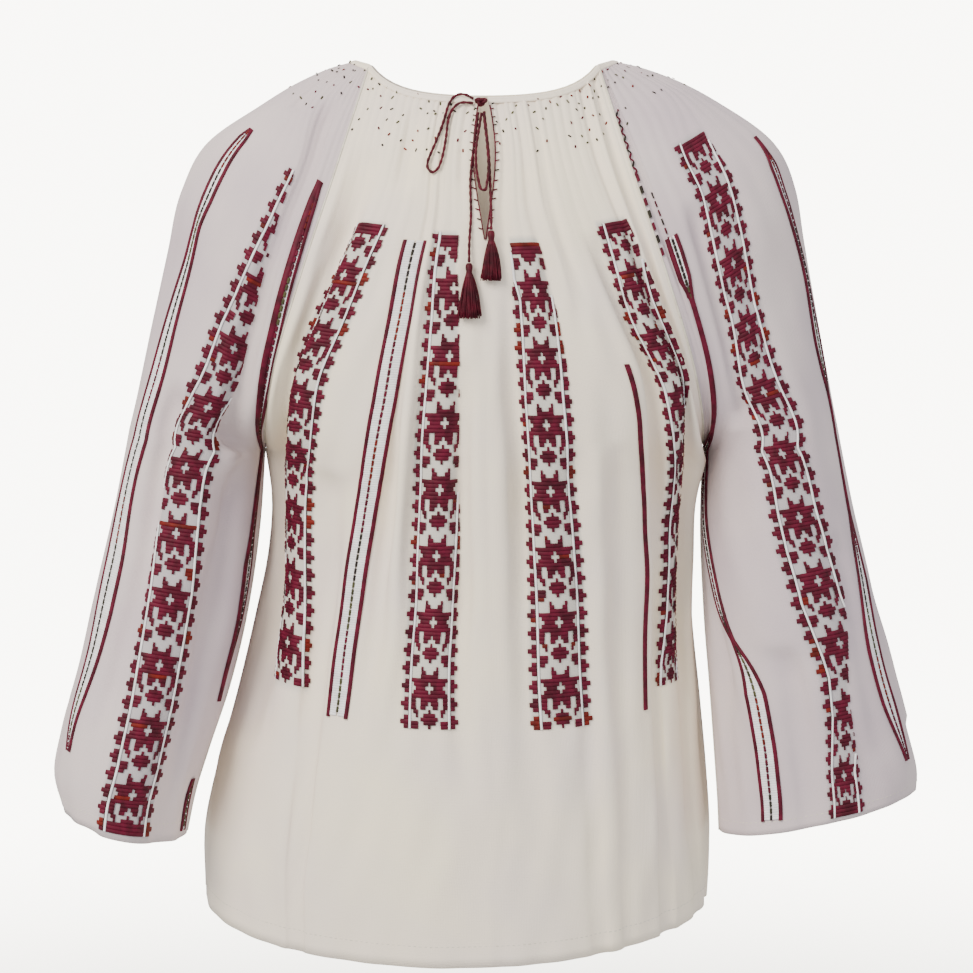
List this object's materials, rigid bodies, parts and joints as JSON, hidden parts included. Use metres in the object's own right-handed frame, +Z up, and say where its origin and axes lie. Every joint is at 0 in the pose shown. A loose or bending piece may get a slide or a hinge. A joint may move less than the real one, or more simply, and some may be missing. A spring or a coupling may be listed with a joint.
{
  "type": "romanian ie blouse",
  "caption": "Gathered folk blouse with a round drawstring neck, front slit, wide open sleeves, embroidered stripes and tasselled ties, in its worn hollow form.",
  "frame": {"origin": "midway between the two points of the neck edge that lie highest on the wearer's shoulders, where the wearer holds the blouse up", "axes": "+Z up; -Y to the front, where the slit and the ties are; +X to the wearer's left"},
  "size_m": [0.6175, 0.2407, 0.6266],
  "materials": {
    "cloth": "off-white plain-weave cotton, matte",
    "cord": "deep burgundy twisted cotton thread"
  },
  "bodies": {
    "root": {"front": "cloth", "back": "cloth", "sleeve_right": "cloth", "sleeve_left": "cloth", "neck_binding": "cloth", "drawstring_knot": "cord", "cord_loop_wide": "cord", "cord_loop_narrow": "cord", "cord_end_long": "cord", "cord_end_short": "cord", "tassel_long": "cord", "tassel_short": "cord"}
  },
  "joints": []
}
